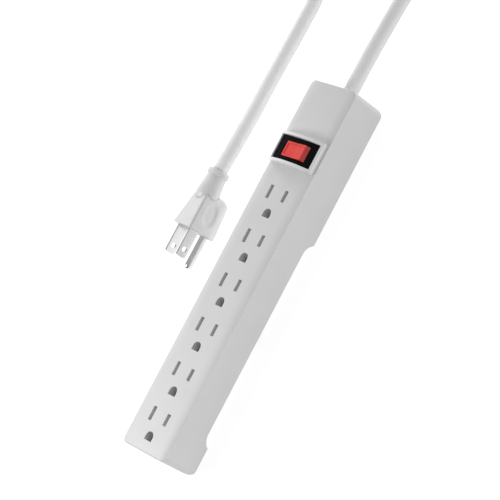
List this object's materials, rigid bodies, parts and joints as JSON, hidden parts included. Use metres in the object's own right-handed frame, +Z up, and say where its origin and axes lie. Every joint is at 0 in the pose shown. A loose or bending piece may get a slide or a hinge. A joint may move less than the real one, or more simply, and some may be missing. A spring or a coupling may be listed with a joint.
{
  "type": "power strip",
  "caption": "Long low housing with a row of grounded outlets, a lit rocker switch in a raised collar, and a round cord with a grounded plug.",
  "frame": {"origin": "middle of the housing's footprint, on the surface it rests on", "axes": "+X along the housing towards the switch and the cord, +Y across it towards the plug, +Z up"},
  "size_m": [0.4048, 0.1105, 0.0313],
  "materials": {
    "housing_plastic": "light grey-white, faintly textured",
    "base_plastic": "pale grey, matt",
    "bezel_plastic": "white, smooth",
    "switch_black": "black, glossy",
    "rocker_red": "translucent red, glossy",
    "plunger_plastic": "natural nylon",
    "spring_steel": "spring wire",
    "screw_steel": "zinc plated",
    "contact_brass": "bare brass",
    "contact_silver": "silver alloy",
    "plated_brass": "nickel plated",
    "lamp_glass": "clear",
    "resistor_body": "tan lacquer",
    "cord_vinyl": "white vinyl, soft gloss",
    "plug_vinyl": "white moulded vinyl",
    "tie_plastic": "black strap",
    "wire_black": "black insulation",
    "wire_white": "white insulation",
    "wire_green": "green insulation"
  },
  "bodies": {
    "housing": {"top_cover": "housing_plastic", "base_cover": "base_plastic", "housing_screws": "screw_steel", "cord_clamp": "base_plastic", "clamp_screws": "screw_steel", "hot_bus_bar": "contact_brass", "neutral_bus_bar": "contact_brass", "ground_bus_bar": "contact_brass", "contact_rivets": "contact_brass", "switch_bezel": "bezel_plastic", "switch_housing": "switch_black", "line_terminal": "contact_brass", "load_terminal": "contact_brass", "fixed_contact": "contact_silver", "lamp_terminal": "contact_brass", "line_wire": "wire_black", "neutral_wire": "wire_white", "ground_wire": "wire_green", "load_wire": "wire_black", "lamp_wire": "wire_white", "cord_strain_relief": "cord_vinyl", "cord_strip_side": "cord_vinyl", "cord_plug_side": "cord_vinyl", "cord_coil": "cord_vinyl", "cord_tie": "tie_plastic", "plug_body": "plug_vinyl", "plug_bridge": "base_plastic", "plug_line_blade": "plated_brass", "plug_neutral_blade": "plated_brass", "plug_ground_pin": "plated_brass", "hot_clip_1": "contact_brass", "neutral_clip_1": "contact_brass", "ground_clip_1": "contact_brass", "hot_clip_2": "contact_brass", "neutral_clip_2": "contact_brass", "ground_clip_2": "contact_brass", "hot_clip_3": "contact_brass", "neutral_clip_3": "contact_brass", "ground_clip_3": "contact_brass", "hot_clip_4": "contact_brass", "neutral_clip_4": "contact_brass", "ground_clip_4": "contact_brass", "hot_clip_5": "contact_brass", "neutral_clip_5": "contact_brass", "ground_clip_5": "contact_brass", "hot_clip_6": "contact_brass", "neutral_clip_6": "contact_brass", "ground_clip_6": "contact_brass"},
    "rocker": {"rocker": "rocker_red", "rocker_plunger": "plunger_plastic", "plunger_spring": "spring_steel", "neon_lamp": "lamp_glass", "lamp_resistor": "resistor_body"},
    "contact_lever": {"contact_lever": "contact_brass", "moving_contact": "contact_silver"}
  },
  "joints": [
    {"name": "rocker_tilt", "type": "hinge", "parent": "housing", "child": "rocker", "pos_m": [0.071, 0, 0.0212], "axis": [1, 0, 0], "range_deg": [0, 14]},
    {"name": "lever_tilt", "type": "hinge", "parent": "housing", "child": "contact_lever", "pos_m": [0.071, 0, 0.0129], "axis": [1, 0, 0], "range_deg": [-10, 0]}
  ],
  "couplings": [
    {"joint": "lever_tilt", "follows": "rocker_tilt", "ratio": -0.71429}
  ]
}
